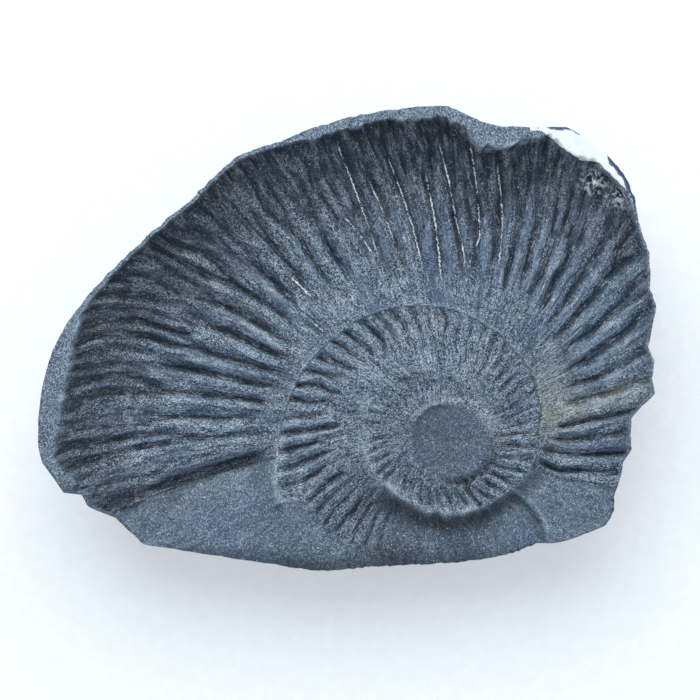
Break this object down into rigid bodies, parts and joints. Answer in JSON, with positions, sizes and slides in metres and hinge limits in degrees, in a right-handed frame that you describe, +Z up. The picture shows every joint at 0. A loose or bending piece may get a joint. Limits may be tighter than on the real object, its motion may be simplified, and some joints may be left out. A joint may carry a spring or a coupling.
{
  "type": "ammonite fossil impression in a split shale nodule",
  "caption": "Hollow half of a split black shale nodule: a ribbed, coiled ammonite impression in its upper face, rounded worn back, resting on a small flat.",
  "frame": {"origin": "centre of the bounding box at the bottom, on the worn flat of the back that the stone rests on", "axes": "+Z up, out of the hollow face; +X along the stone's length, towards the coil's side of the outline; +Y towards the high rim at the top of the picture"},
  "size_m": [0.1002, 0.0757, 0.0276],
  "materials": {
    "black_shale": "matt, fine-grained, blue-grey where light catches it"
  },
  "bodies": {
    "root": {"ammonite_stone": "black_shale"}
  },
  "joints": []
}
